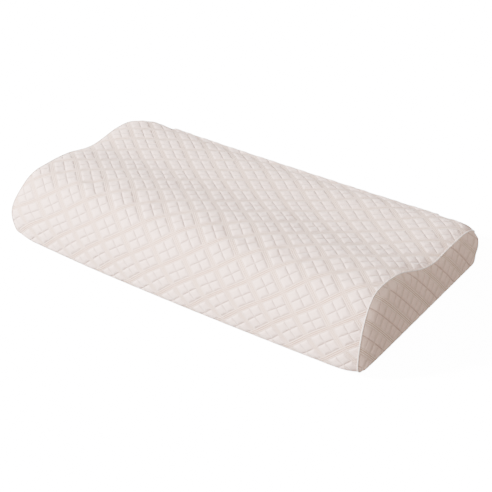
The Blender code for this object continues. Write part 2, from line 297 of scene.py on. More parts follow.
def quads_of(ni, nj, wrap_i=False):
    """Quads of an ni by nj grid of points stored row by row (i slow)."""
    i = np.arange(ni if wrap_i else ni - 1)
    j = np.arange(nj - 1)
    a, b = np.meshgrid(i, j, indexing="ij")
    i2 = (a + 1) % ni
    return np.stack([a * nj + b, a * nj + b + 1, i2 * nj + b + 1, i2 * nj + b], -1).reshape(-1, 4)


def grid_normals(p):
    """Unit normals of a grid of points (ni, nj, 3)."""
    gi = np.gradient(p, axis=0)
    gj = np.gradient(p, axis=1)
    n = np.cross(gj, gi)
    return n / (np.linalg.norm(n, axis=-1, keepdims=True) + 1e-15)


def value_noise(x, y, seed):
    """Smooth noise, -1 to 1, of period-free hashed lattice points."""
    xi, yi = np.floor(x).astype(int), np.floor(y).astype(int)
    fx, fy = x - xi, y - yi
    fx, fy = fx * fx * (3 - 2 * fx), fy * fy * (3 - 2 * fy)

    def at(i, j):
        h = np.sin(i * 127.1 + j * 311.7 + seed * 74.7) * 43758.5453
        return (h - np.floor(h)) * 2 - 1

    a = at(xi, yi) * (1 - fx) + at(xi + 1, yi) * fx
    b = at(xi, yi + 1) * (1 - fx) + at(xi + 1, yi + 1) * fx
    return a * (1 - fy) + b * fy


# ------------------------------------------------------------------------------------------------------------------
# Materials
# ------------------------------------------------------------------------------------------------------------------
class Nodes:
    """Short helpers for building a node tree."""

    def __init__(self, name):
        self.mat = bpy.data.materials.new(name)
        self.mat.use_nodes = True
        self.t = self.mat.node_tree
        self.t.nodes.clear()
        self.out = self.t.nodes.new("ShaderNodeOutputMaterial")
        self.bsdf = self.t.nodes.new("ShaderNodeBsdfPrincipled")
        self.t.links.new(self.bsdf.outputs[0], self.out.inputs[0])

    def put(self, socket, value):
        if hasattr(value, "is_output"):
            self.t.links.new(value, socket)
        elif value is not None:
            socket.default_value = value

    def math(self, op, a, b=None, c=None, clamp=False):
        n = self.t.nodes.new("ShaderNodeMath")
        n.operation = op
        n.use_clamp = clamp
        for i, x in enumerate((a, b, c)):
            self.put(n.inputs[i], x)
        return n.outputs[0]

    def smooth(self, x, a, b, lo=0.0, hi=1.0):
        n = self.t.nodes.new("ShaderNodeMapRange")
        n.interpolation_type = "SMOOTHSTEP"
        for i, v in enumerate((x, a, b, lo, hi)):
            self.put(n.inputs[i], v)
        return n.outputs[0]

    def mix(self, f, a, b):
        n = self.t.nodes.new("ShaderNodeMix")
        n.data_type = "RGBA"
        self.put(n.inputs["Factor"], f)
        self.put(n.inputs[6], a)
        self.put(n.inputs[7], b)
        return n.outputs[2]

    def noise(self, scale, detail=2.0, vec=None, rough=0.5):
        n = self.t.nodes.new("ShaderNodeTexNoise")
        n.inputs["Scale"].default_value = scale
        n.inputs["Detail"].default_value = detail
        n.inputs["Roughness"].default_value = rough
        if vec is not None:
            self.t.links.new(vec, n.inputs["Vector"])
        return n.outputs[0]

    def place(self):
        """The point on the object, in metres."""
        n = self.t.nodes.new("ShaderNodeTexCoord")
        return n.outputs["Object"]

    def uv(self, name):
        n = self.t.nodes.new("ShaderNodeUVMap")
        n.uv_map = name
        s = self.t.nodes.new("ShaderNodeSeparateXYZ")
        self.t.links.new(n.outputs[0], s.inputs[0])
        return s.outputs[0], s.outputs[1], n.outputs[0]

    def xyz(self, vec):
        s = self.t.nodes.new("ShaderNodeSeparateXYZ")
        self.t.links.new(vec, s.inputs[0])
        return s.outputs

    def bump(self, height, strength, distance):
        n = self.t.nodes.new("ShaderNodeBump")
        n.inputs["Strength"].default_value = strength
        n.inputs["Distance"].default_value = distance
        self.t.links.new(height, n.inputs["Height"])
        self.t.links.new(n.outputs[0], self.bsdf.inputs["Normal"])

    def shader(self, colour, rough, metallic=0.0, sheen=0.0, spec=0.5, coat=0.0):
        b = self.bsdf
        self.put(b.inputs["Base Color"], colour)
        self.put(b.inputs["Roughness"], rough)
        b.inputs["Metallic"].default_value = metallic
        b.inputs["Sheen Weight"].default_value = sheen
        b.inputs["Sheen Roughness"].default_value = 0.45
        b.inputs["Specular IOR Level"].default_value = spec
        b.inputs["Coat Weight"].default_value = coat
        return self.mat


def rgb(r, g, b):
    """sRGB 0-255 to a linear colour."""

    def lin(c):
        c /= 255
        return c / 12.92 if c <= 0.04045 else ((c + 0.055) / 1.055) ** 2.4

    return (lin(r), lin(g), lin(b), 1.0)


def quilted_knit(name, cell_col, rib_col, band_col, tan_col, groove_shade_col, band_v=BAND, puffed=1.75, dashed=0.7, lines=1.0, groove_shade_mix=0.55):
    """Double knit with puffed diamonds and fine grooves. One set of bands has three ribs with tan lines between
    them; the bands that cross it are rows of small tan stitches."""
    n = Nodes(name)
    u, v, vec = n.uv("weave")

    def across(c, share):
        f = n.math("FRACT", n.math("ADD", c, 0.5))
        d = n.math("ABSOLUTE", n.math("SUBTRACT", f, 0.5))  # 0 in the groove, 0.5 in the middle of the band
        t = n.math("DIVIDE", n.math("SUBTRACT", 0.5, d), share / 2)  # 0 in the middle of the band, 1 at its edge
        band = n.smooth(t, 0.94, 1.04, 1.0, 0.0)
        groove = n.smooth(d, 0.003, 0.022, 1.0, 0.0)
        wave = n.math("COSINE", n.math("MULTIPLY", t, 3 * math.pi))
        return d, t, band, groove, wave

    du, tu, bu, gu, wu = across(u, BAND)
    dv, tv, bv, gv, wv = across(v, band_v)
    not_u = n.math("MULTIPLY_ADD", bu, -0.45, 1.0)  # the two sets are woven through each other where they cross
    bv = n.math("MULTIPLY", bv, not_u)
    band = n.math("MAXIMUM", bu, bv)
    cellmask = n.math("SUBTRACT", 1.0, band)
    rib = n.math("MULTIPLY", bu, n.math("MULTIPLY_ADD", wu, 0.5, 0.5))
    line = n.math("MULTIPLY", n.math("MULTIPLY", bu, n.smooth(wu, 0.25, -0.75)), n.smooth(tu, 0.6, 0.95, 1.0, 0.45))
    line = n.math("MULTIPLY", line, n.math("MULTIPLY_ADD", bv, -0.8, 1.0))
    dash = n.smooth(n.math("SINE", n.math("MULTIPLY", u, 2 * math.pi * 11)), -0.5, 0.5, 1 - dashed, 1.0)
    dot = n.math("MULTIPLY", n.math("MULTIPLY", bv, n.smooth(wv, 0.35, -0.65)), dash)
    dot = n.math("MULTIPLY", dot, n.smooth(tv, 0.6, 0.95, 1.0, 0.55))
    gv = n.math("MULTIPLY", gv, n.math("MULTIPLY_ADD", dash, dashed, 1 - dashed))
    rib_v = n.math("MULTIPLY", bv, n.math("MULTIPLY_ADD", wv, 0.5, 0.5))
    groove = n.math("MULTIPLY", n.math("MAXIMUM", gu, gv), cellmask)
    place = n.place()
    cloud = n.noise(14.0, 3.0, place)
    fleck = n.noise(1600.0, 2.0, place)
    base = n.mix(bu, cell_col, n.mix(rib, band_col, rib_col))
    base = n.mix(bv, base, n.mix(n.math("MULTIPLY", rib_v, 0.5), band_col, rib_col))
    base = n.mix(n.math("MAXIMUM", n.math("MULTIPLY", line, lines), n.math("MULTIPLY", dot, lines * 0.8)), base, tan_col)
    # painted shade: the grooves between the puffed diamonds are darkened towards the groove colour, standing in for
    # the shadow that falls in them
    base = n.mix(n.math("MULTIPLY", groove, groove_shade_mix), base, groove_shade_col)
    shade = n.math("MULTIPLY_ADD", cloud, 0.05, 0.955)
    shade = n.math("MULTIPLY", shade, n.math("MULTIPLY_ADD", fleck, 0.05, 0.975))
    hue = n.t.nodes.new("ShaderNodeHueSaturation")
    n.t.links.new(base, hue.inputs["Color"])
    n.t.links.new(shade, hue.inputs["Value"])
    # knitted loops: rows of small vees about a millimetre apart
    x, y, z = n.xyz(vec)
    s1 = n.math("SINE", n.math("MULTIPLY", n.math("ADD", x, y), 2 * math.pi * 24))
    s2 = n.math("SINE", n.math("MULTIPLY", n.math("SUBTRACT", x, y), 2 * math.pi * 30))
    loops = n.math("MULTIPLY", s1, s2)

    # the puffed cells again, so that their edges stay crisp between the mesh's points
    def puff(d, share):
        t = n.math("DIVIDE", d, 0.5 - share / 2, clamp=True)
        w = n.math("ABSOLUTE", n.math("MULTIPLY_ADD", t, 2.0, -1.0))
        w = n.math("SUBTRACT", 1.0, n.math("POWER", w, 3.4))
        return n.math("POWER", n.math("MAXIMUM", w, 0.0001), 0.7)

    crisp = 1.0 if band_v == BAND else 0.75
    cells = n.math("MULTIPLY", n.math("MINIMUM", puff(du, BAND), n.math("MULTIPLY_ADD", puff(dv, band_v), crisp, 1 - crisp)), cellmask)
    height = n.math("MULTIPLY_ADD", n.math("MAXIMUM", rib, n.math("MULTIPLY", rib_v, 0.6)), 0.60, n.math("MULTIPLY", groove, -0.4))
    height = n.math("MULTIPLY_ADD", cells, puffed, height)
    height = n.math("MULTIPLY_ADD", loops, 0.10, height)
    height = n.math("MULTIPLY_ADD", fleck, 0.28, height)
    height = n.math("MULTIPLY_ADD", dot, -0.25, height)
    n.bump(height, 0.9, 0.0008)
    rough = n.math("MULTIPLY_ADD", fleck, 0.12, 0.80)
    return n.shader(hue.outputs[0], rough, sheen=0.35, spec=0.25)


def plain_knit(name, col, scale=1100.0, sheen=0.2):
    n = Nodes(name)
    place = n.place()
    x, y, z = n.xyz(place)
    a = n.math("SINE", n.math("MULTIPLY", n.math("ADD", x, y), 2 * math.pi * 900))
    b = n.math("SINE", n.math("MULTIPLY", n.math("ADD", z, y), 2 * math.pi * 700))
    f = n.noise(scale, 2.0, place)
    c = n.mix(n.math("MULTIPLY", f, 0.35), col, tuple(0.8 * q for q in col[:3]) + (1.0,))
    n.bump(n.math("MULTIPLY_ADD", n.math("MULTIPLY", a, b), 0.4, f), 0.5, 0.0003)
    return n.shader(c, n.math("MULTIPLY_ADD", f, 0.1, 0.82), sheen=sheen, spec=0.25)


def foam_material():
    n = Nodes("visco_foam")
    place = n.place()
    v = n.t.nodes.new("ShaderNodeTexVoronoi")
    v.inputs["Scale"].default_value = 900.0
    n.t.links.new(place, v.inputs["Vector"])
    pore = n.smooth(v.outputs["Distance"], 0.1, 0.45)
    c = n.mix(pore, rgb(214, 204, 170), rgb(242, 234, 208))
    c = n.mix(n.math("MULTIPLY", n.noise(9.0, 3.0, place), 0.4), c, rgb(236, 222, 180))
    n.bump(pore, 0.6, 0.0004)
    return n.shader(c, n.math("MULTIPLY_ADD", pore, 0.1, 0.8), sheen=0.15, spec=0.25)


def tape_material():
    """Herringbone woven zip tape."""
    n = Nodes("zip_tape_weave")
    x, y, z = n.xyz(n.place())
    zig = n.math("ABSOLUTE", n.math("SUBTRACT", n.math("FRACT", n.math("MULTIPLY", z, 500.0)), 0.5))
    w = n.math("SINE", n.math("MULTIPLY", n.math("ADD", n.math("MULTIPLY", x, 1100.0), zig), 2 * math.pi))
    w = n.math("MULTIPLY_ADD", w, 0.5, 0.5)
    c = n.mix(w, rgb(214, 205, 197), rgb(236, 230, 224))
    n.bump(w, 0.6, 0.00025)
    return n.shader(c, 0.78, sheen=0.15, spec=0.3)


def coil_material():
    n = Nodes("zip_coil_nylon")
    f = n.noise(700.0, 2.0, n.place())
    c = n.mix(f, rgb(226, 220, 212), rgb(240, 236, 230))
    return n.shader(c, n.math("MULTIPLY_ADD", f, 0.15, 0.34), spec=0.5)


def metal_material():
    """Satin nickel with fine brushing."""
    n = Nodes("zip_nickel")
    x, y, z = n.xyz(n.place())
    brush = n.noise(60.0, 4.0)
    m = n.t.nodes.new("ShaderNodeMapping")
    m.inputs["Scale"].default_value = (40.0, 1600.0, 1600.0)
    n.t.links.new(n.place(), m.inputs["Vector"])
    streak = n.noise(1.0, 3.0, m.outputs[0])
    c = n.mix(streak, rgb(176, 174, 170), rgb(214, 212, 208))
    n.bump(streak, 0.15, 0.00008)
    return n.shader(c, n.math("MULTIPLY_ADD", streak, 0.18, 0.22), metallic=1.0)


def thread_material(name="sewing_thread_twist", col=(238, 232, 226)):
    """Two-ply thread: a twist that runs along it."""
    n = Nodes(name)
    x, y, z = n.xyz(n.place())
    w = n.math("SINE", n.math("MULTIPLY", n.math("ADD", x, n.math("MULTIPLY", z, 0.8)), 2 * math.pi * 1500))
    w = n.math("MULTIPLY_ADD", w, 0.5, 0.5)
    c = n.mix(w, rgb(col[0] - 22, col[1] - 24, col[2] - 26), rgb(*col))
    n.bump(w, 0.5, 0.0001)
    return n.shader(c, 0.6, sheen=0.2, spec=0.35)


def satin_material():
    n = Nodes("label_satin")
    x, y, z = n.xyz(n.place())
    a = n.math("SINE", n.math("MULTIPLY", n.math("MULTIPLY_ADD", z, 2.0, x), 2 * math.pi * 1600))
    a = n.math("MULTIPLY_ADD", a, 0.5, 0.5)
    c = n.mix(a, rgb(236, 233, 229), rgb(248, 246, 243))
    n.bump(a, 0.3, 0.0001)
    return n.shader(c, 0.38, sheen=0.3, spec=0.5)


def seam_material():
    """Folded, tightly sewn edge of the cover: small stitches along a pale ridge."""
    n = Nodes("seam_fold")
    u, v, vec = n.uv("weave")
    st = n.math("SINE", n.math("MULTIPLY", u, 2 * math.pi))
    st = n.smooth(st, -0.9, -0.2)
    f = n.noise(1500.0, 2.0, n.place())
    c = n.mix(st, rgb(236, 214, 202), rgb(250, 234, 224))
    c = n.mix(n.math("MULTIPLY", f, 0.25), c, rgb(226, 217, 210))
    n.bump(n.math("MULTIPLY_ADD", f, 0.4, st), 0.5, 0.0003)
    return n.shader(c, 0.8, sheen=0.3, spec=0.25)


# the last colour is painted shade for the grooves between the puffed diamonds
KNIT = quilted_knit(
    "quilted_knit_main", rgb(244, 212, 200), rgb(250, 220, 205), rgb(236, 204, 187), rgb(178, 126, 90), rgb(190, 152, 132)
)
# painted shade: the end panels' knit is a darker, warmer copy of the main panel's colours, standing in for the shade
# on the ends, and its grooves are painted darker still
KNIT_END_SHADED = quilted_knit(
    "quilted_knit_end",
    rgb(238, 206, 188),
    rgb(255, 234, 216),
    rgb(230, 197, 175),
    rgb(176, 128, 96),
    rgb(158, 120, 98),
    BAND_END,
    1.7,
    0.7,
    0.85,
    0.70,
)
SEAM = seam_material()
FOAM = foam_material()
LINER = plain_knit("liner_knit_white", rgb(240, 240, 238))
TAPE = tape_material()
COIL = coil_material()
METAL = metal_material()
THREAD = thread_material()
SATIN = satin_material()

# ------------------------------------------------------------------------------------------------------------------
# Cover, main panel
# ------------------------------------------------------------------------------------------------------------------


def stations(half, step):
    """x positions from end to end, closer where the surface rounds in, plus the inset that goes with each."""
    flat = LENGTH / 2 - END_LEN
    n_mid = int(round(2 * flat / step / 4)) * 4
    mid = np.linspace(-flat, flat, n_mid + 1)
    a1 = math.asin((half - flat) / END_LEN)
    a = np.linspace(0, a1, 600)
    px, pi = flat + END_LEN * np.sin(a), END_IN * (1 - np.cos(a))
    d = np.r_[0, np.cumsum(np.hypot(np.diff(px), np.diff(pi)))]
    n_end = int(round(d[-1] / step / 2)) * 2
    ends = np.interp(np.linspace(0, d[-1], n_end + 1)[1:], d, px)
    return np.r_[-ends[::-1], mid, ends]


xs = stations(SEAM_X, STEP)
S_HI = S_ZIP
S_LO = -BOTTOM - (ARC - S_ZIP)
rise = 0.030  # the underside near the front and back edges is as fine as the sides
n_top = int(round((S_HI + rise) / STEP))
n_bot = int(round((BOTTOM - 2 * rise) / (STEP * 2.4)))
n_bk = int(round((rise + ARC - S_ZIP) / STEP))
ss = np.r_[
    np.linspace(S_LO, -BOTTOM + rise, n_bk, endpoint=False),
    np.linspace(-BOTTOM + rise, -rise, n_bot, endpoint=False),
    np.linspace(-rise, S_HI, n_top + 1),
]
XX, SS = np.meshgrid(xs, ss, indexing="xy")


def crest_pucker(x, s):
    """Soft gathers of the knit over the front crest, where the fabric is bent most."""
    on = np.exp(-(((s - 0.152) / 0.030) ** 2))
    a = value_noise(x / 0.021 + 0.6 * s / 0.03, s / 0.017, 3)
    b = value_noise(x / 0.011, s / 0.012 + 5, 9)
    return on * (0.0012 * a + 0.0005 * b)


def undulation(x, s):
    """Low swells of the fabric over the foam."""
    return 0.0009 * value_noise(x / 0.075, s / 0.060, 1) + 0.0004 * value_noise(x / 0.033, s / 0.031, 2)


def wrap_points(x, s):
    from_end = SEAM_X - np.abs(x)
    x = to_seam(x, s)
    base = outer(x, s)
    nrm = grid_normals(base)
    # outward: the underside's normal points down
    if nrm[int(nrm.shape[0] * 0.75), nrm.shape[1] // 2, 2] < 0:
        nrm = -nrm
    u, v = lattice(x, s)
    h = knit_height(u, v)
    calm = 0.25 + 0.75 * smoothstep(from_end, 0.0005, 0.011)
    slot = np.minimum(np.abs(s - S_HI), np.abs(s - S_LO))
    calm = calm * (0.3 + 0.7 * smoothstep(slot, SLOT_HALF_Z, SLOT_HALF_Z + 0.006))
    calm = calm * (0.15 + 0.85 * smoothstep(base[..., 2], 0.003, 0.022))
    disp = (h - 0.5) * PUFF * calm
    soft = smoothstep(from_end, 0.0, 0.03) * smoothstep(slot, 0.012, 0.03)
    low = smoothstep(base[..., 2], 0.004, 0.02)
    disp = disp + (undulation(x, s) + crest_pucker(x, s)) * soft * low
    # small gathers where the panel is sewn to its end
    gather = np.sin(s / 0.0062 * 2 * math.pi + 2 * np.sin(s / 0.031)) * 0.00022
    disp = disp + gather * (1 - smoothstep(from_end, 0.001, 0.010)) * low
    p = base + nrm * disp[..., None]
    p[..., 2] = np.maximum(p[..., 2], 0.0)
    return p, nrm, u, v


P, NRM, U, V = wrap_points(XX, SS)

# the two edges of the back opening: open over the zip, closed beyond it
half_open = SLOT_HALF_Z - (SLOT_HALF_Z - 0.00015) * smoothstep(np.abs(xs), SLOT_HALF_X - 0.003, SLOT_HALF_X + 0.0012)


def draw_edge(P, rows, sign):
    """Pulls the rows near an edge away from the zip's centre line, so the edge lies half_open from it."""
    base = P[rows[0], :, 2].copy()
    target = ZIP_Z + sign * half_open
    n = len(rows)
    for i, r in enumerate(rows):
        f = 1 - smoothstep(i / (n - 1), 0, 1) if n > 1 else 1
        P[r, :, 2] += (target - base) * f
    return P


near = int(round(0.030 / STEP))
P = draw_edge(P, list(range(0, near)), -1)
P = draw_edge(P, list(range(len(ss) - 1, len(ss) - 1 - near, -1)), +1)

# both edges turn in by the fabric's thickness
turn = []
for r, nb in ((0, 1), (len(ss) - 1, len(ss) - 2)):
    rows = []
    sgn = -1 if r == 0 else 1
    for a in (30, 60, 90):
        t = math.radians(a)
        q = P[r].copy()
        q[:, 1] -= 0.0012 * (1 - math.cos(t)) + (0.0012 if a == 90 else 0)
        q[:, 2] -= sgn * 0.0004 * math.sin(t) * (half_open > 0.001)
        rows.append(q)
    turn.append(rows)
full = np.concatenate([np.array(turn[0][::-1]), P, np.array(turn[1])], 0)
u_full = np.concatenate([np.repeat(U[:1], 3, 0), U, np.repeat(U[-1:], 3, 0)], 0)
v_full = np.concatenate([np.repeat(V[:1], 3, 0), V, np.repeat(V[-1:], 3, 0)], 0)
# the short edges turn in behind the seam
first, last = full[:, :1].copy(), full[:, -1:].copy()
for e, side in ((first, -1), (last, 1)):
    e[..., 0] += side * 0.0004
mid_y, mid_z = CENTRE
tuck = []
for e in (first, last):
    d = np.stack([np.zeros_like(e[..., 1]), mid_y - e[..., 1], mid_z - e[..., 2]], -1)
    d /= np.linalg.norm(d, axis=-1, keepdims=True)
    tuck.append(e + d * 0.0025)
full = np.concatenate([tuck[0], full, tuck[1]], 1)
u_full = np.concatenate([u_full[:, :1], u_full, u_full[:, -1:]], 1)
v_full = np.concatenate([v_full[:, :1], v_full, v_full[:, -1:]], 1)
ni, nj = full.shape[:2]
bake = np.stack(
    np.meshgrid(np.linspace(0.004, 0.996, ni), np.linspace(0.004, 0.996, nj), indexing="ij")[::-1], -1
).reshape(-1, 2)
quads = quads_of(ni, nj)
if np.cross(full[ni // 2, 1 + nj // 2] - full[ni // 2, nj // 2], full[ni // 2 + 1, nj // 2] - full[ni // 2, nj // 2]).dot(NRM[ni // 2, nj // 2]) < 0:
    quads = quads[:, ::-1]
cover = grid_mesh(
    "cover_quilted_wrap",
    full.reshape(-1, 3),
    quads,
    {"OFBake": bake, "weave": np.stack([u_full, v_full], -1).reshape(-1, 2)},
    [KNIT],
)
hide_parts("cover_wrap")
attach(cover, "pillow")

# ------------------------------------------------------------------------------------------------------------------
# End panels and the seams round them
# ------------------------------------------------------------------------------------------------------------------


def rim(side, n, out=0.0):
    """The closed outline where the main panel meets an end panel, n points, moved outwards by out."""
    s = np.linspace(S_LO, S_HI, n, endpoint=False)
    x = side * seam_x(s)
    return outer(x, s, -out), s


def end_lattice(y, z):
    """The same knit, turned a quarter on the end panels."""
    return (y + 0.79 * z - 0.0004) / 0.0424, (y - 0.84 * z + 0.1313) / 0.0387


def end_panel(side, name, node):
    edge, _ = rim(side, 1600)
    ey, ez = edge[:, 1], edge[:, 2]
    iy0, iy1 = int(np.argmin(ey)), int(np.argmax(ey))
    # upper line from the front nose over the top to the back nose, and the lower one under it
    idx = np.arange(len(ey))
    up = np.r_[idx[iy0:], idx[:iy1 + 1]] if iy1 < iy0 else idx[iy0:iy1 + 1]
    lo_ = np.r_[idx[iy1:], idx[: iy0 + 1]] if iy0 < iy1 else idx[iy1 : iy0 + 1]
    up_y, up_z = ey[up], ez[up]
    lo_y, lo_z = ey[lo_][::-1], ez[lo_][::-1]
    step = STEP * 1.05
    n_c = int((ey.max() - ey.min()) / step)
    c = np.linspace(0, 1, n_c + 1)
    # columns close up near the rounded noses
    t = 0.5 - 0.5 * np.cos(np.pi * c)
    t = 0.35 * t + 0.65 * c
    cols = ey.min() + (ey.max() - ey.min()) * t
    zt = np.interp(cols, up_y, up_z)
    zb = np.interp(cols, lo_y, lo_z)
    zt[0] = zb[0] = ez[iy0]
    zt[-1] = zb[-1] = ez[iy1]
    n_r = int(0.1 / step)
    f = np.linspace(0, 1, n_r + 1)
    f = 0.4 * (0.5 - 0.5 * np.cos(np.pi * f)) + 0.6 * f
    Y, F = np.meshgrid(cols, f, indexing="ij")
    Z = zb[:, None] + (zt - zb)[:, None] * F
    # distance from the rim
    pts = np.stack([Y.ravel(), Z.ravel()], -1)
    poly = np.stack([ey, ez], -1)
    dist = np.empty(len(pts))
    near_x = np.empty(len(pts))
    ex = np.abs(edge[:, 0])
    a, b = poly, np.roll(poly, -1, 0)
    ab = b - a
    ll = (ab**2).sum(1) + 1e-18
    for i in range(0, len(pts), 2000):
        q = pts[i : i + 2000, None, :]
        tt = np.clip(((q - a) * ab).sum(-1) / ll, 0, 1)
        d2 = (((a + tt[..., None] * ab) - q) ** 2).sum(-1)
        dist[i : i + 2000] = np.sqrt(d2.min(1))
        # the seam's x near this point, averaged over the closest stretch of the rim
        wgt = 1 / (d2 + 4e-6) ** 1.5
        near_x[i : i + 2000] = (wgt * ex).sum(1) / wgt.sum(1)
    D = dist.reshape(Y.shape)
    XB = near_x.reshape(Y.shape)
    # the panel swells out from its seam, over a shorter distance at the back nose and underneath
    back = smoothstep(Y, 0.105, 0.135)
    low = 1 - smoothstep(Z, 0.0, 0.03)
    nose = back * np.exp(-(((Z - 0.042) / 0.016) ** 2))
    reach = 0.028 - 0.012 * back
    fore = (1 - smoothstep(Y, -0.142, -0.108)) * smoothstep(Z, 0.004, 0.02)
    tight = 0.55 + 0.38 * low * (1 - fore)
    swell = (1 - tight) * (1 - (1 - np.clip(D / reach, 0, 1)) ** 2)
    swell = swell + tight * (1 - (1 - np.clip(D / (0.009 - 0.003 * low + 0.004 * back * (1 - low) + 0.005 * fore), 0, 1)) ** (2 + 0.8 * nose))
    dome = XB + np.maximum(LENGTH / 2 - 0.0006 - XB, 0.003) * swell + 0.0004 * low * smoothstep(D, 0.0005, 0.006)
    dome = dome + 0.0034 * nose * smoothstep(D, 0.001, 0.010)
    dome = dome + 0.0012 * smoothstep(D, 0.006, 0.045)
    u, v = end_lattice(Y, Z)
    h = knit_height(u, v, BAND_END)
    calm = smoothstep(D, 0.0008, 0.009)
    dome = dome + (h - 0.5) * PUFF * 0.6 * calm
    dome = dome + 0.0007 * value_noise(Y / 0.05 + 3, Z / 0.035, 5 + side) * smoothstep(D, 0.004, 0.02)
    P = np.stack([side * dome, Y, Z], -1)
    q = quads_of(*Y.shape)
    mid = (Y.shape[0] // 2, Y.shape[1] // 2)
    n = np.cross(P[mid[0], mid[1] + 1] - P[mid], P[mid[0] + 1, mid[1]] - P[mid])
    if n[0] * side < 0:
        q = q[:, ::-1]
    uvb = np.stack([(Y - Y.min()) / 0.31, (Z - Z.min()) / 0.31], -1).reshape(-1, 2)
    ob = grid_mesh(
        name,
        P.reshape(-1, 3),
        q,
        {"OFBake": uvb, "weave": np.stack([u, v], -1).reshape(-1, 2)},
        [KNIT_END_SHADED],
    )
    # the nose columns close to one point
    bpy.context.view_layer.objects.active = ob
    import bmesh

    bm = bmesh.new()
    bm.from_mesh(ob.data)
    bmesh.ops.remove_doubles(bm, verts=bm.verts, dist=1e-6)
    bm.to_mesh(ob.data)
    bm.free()
    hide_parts(node)
    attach(ob, "pillow")
    return ob


def seam(side, name, node):
    """A tightly folded ridge that stands along the join, pinched a little at every stitch."""
    n = 720
    line, s = rim(side, n, 0.0)
    outw, _ = rim(side, n, 0.0010)
    nrm = outw - line
    nrm /= np.linalg.norm(nrm, axis=1, keepdims=True)
    ax = np.array([side, 0, 0.0])
    ring = 8
    cum = np.arange(n) / n
    total = np.linalg.norm(np.roll(line, -1, 0) - line, axis=1).sum()
    stitches = int(round(total / 0.0032))
    pinch = 0.5 + 0.5 * np.cos(2 * np.pi * cum * stitches)
    # fullest down the front, fine over the top and back, and pressed flat underneath
    thick = 0.68 + 0.27 * np.exp(-(((s - 0.045) / 0.05) ** 2)) + 0.07 * np.sin(s / 0.019) * np.sin(s / 0.0071)
    thick = thick * (0.4 + 0.6 * smoothstep(line[:, 2], 0.0015, 0.010))
    pts = np.empty((n, ring, 3))
    uv = np.empty((n, ring, 2))
    for j in range(ring):
        a = 2 * math.pi * j / ring
        rr_n = thick * 0.00135 * (1 - 0.12 * pinch)
        rr_x = thick * 0.00115 * (1 - 0.10 * pinch)
        pts[:, j] = (
            line
            + nrm * (0.0003 * thick + rr_n * math.cos(a))[:, None]
            + ax * (0.0002 * thick + rr_x * math.sin(a))[:, None]
        )
        uv[:, j, 0] = cum * stitches
        uv[:, j, 1] = j / ring
    pts[..., 2] = np.maximum(pts[..., 2], 0.0002)
    i = np.arange(n)
    j = np.arange(ring)
    A, B = np.meshgrid(i, j, indexing="ij")
    q = np.stack([A * ring + B, A * ring + (B + 1) % ring, ((A + 1) % n) * ring + (B + 1) % ring, ((A + 1) % n) * ring + B], -1).reshape(-1, 4)
    flat = pts.reshape(-1, 3)
    k = 100 * ring
    nn = np.cross(flat[q[k][1]] - flat[q[k][0]], flat[q[k][3]] - flat[q[k][0]])
    if nn.dot(flat[q[k][0]] - line[100]) < 0:
        q = q[:, ::-1]
    ob = grid_mesh(name, flat, q, {"weave": uv.reshape(-1, 2)}, [SEAM])
    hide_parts(node)
    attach(ob, "pillow")
    return ob


for side, word in ((-1, "left"), (1, "right")):
    end_panel(side, f"cover_quilted_end_{word}", f"cover_end_panel_{word}")
    seam(side, f"cover_seam_ridge_{word}", f"end_seam_{word}")

# ------------------------------------------------------------------------------------------------------------------
# Foam core and its liner, inside
# ------------------------------------------------------------------------------------------------------------------


def loop_solid(name, inset, x_half, mats, step=0.006):
    """A closed body under the cover, inset from the smooth outer surface."""
    n = int((ARC + BOTTOM) / step)
    s = np.linspace(S_LO, S_HI, n, endpoint=False)
    half = x_half
    flat = LENGTH / 2 - END_LEN
    x = np.r_[np.linspace(-half, -flat, 9), np.linspace(-flat, flat, 60)[1:-1], np.linspace(flat, half, 9)]
    X, S = np.meshgrid(x, s, indexing="ij")
    p = outer(X, S, inset)
    verts = p.reshape(-1, 3)
    m = len(s)
    faces = []
    for i in range(len(x) - 1):
        for j in range(m):
            a, b = i * m + j, i * m + (j + 1) % m
            faces.append((a, b, b + m, a + m))
    faces.append(tuple(range(m))[::-1])
    faces.append(tuple(range((len(x) - 1) * m, len(x) * m)))
    ob = new_mesh(name, verts, faces, mats)
    fix_normals(ob)
    return ob


def fix_normals(ob):
    import bmesh

    bm = bmesh.new()
    bm.from_mesh(ob.data)
    bmesh.ops.recalc_face_normals(bm, faces=bm.faces)
    bm.to_mesh(ob.data)
    bm.free()
    ob.data.shade_smooth()
    ob.data.set_sharp_from_angle(angle=math.radians(50))


foam = loop_solid("foam_core_moulded", 0.0062, 0.2868, [FOAM])
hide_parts("foam_core")
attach(foam, "pillow")


def liner_tube():
    n = int((ARC + BOTTOM) / 0.006)
    s = np.linspace(S_LO, S_HI, n, endpoint=False)
    flat = LENGTH / 2 - END_LEN
    half = 0.2872
    x = np.r_[np.linspace(-half, -flat, 9), np.linspace(-flat, flat, 60)[1:-1], np.linspace(flat, half, 9)]
    X, S = np.meshgrid(x, s, indexing="ij")
    pa, pb = outer(X, S, 0.0045), outer(X, S, 0.0053)
    m, k = len(s), len(x)
    verts = np.concatenate([pa.reshape(-1, 3), pb.reshape(-1, 3)])
    faces = []
    off = m * k
    for i in range(k - 1):
        for j in range(m):
            a, b = i * m + j, i * m + (j + 1) % m
            faces.append((a, b, b + m, a + m))
            faces.append((off + a, off + a + m, off + b + m, off + b))
    for j in range(m):
        b = (j + 1) % m
        faces.append((j, off + j, off + b, b))
        e = (k - 1) * m
        faces.append((e + j, e + b, off + e + b, off + e + j))
    ob = new_mesh("liner_sleeve_knit", verts, faces, [LINER])
    fix_normals(ob)
    return ob


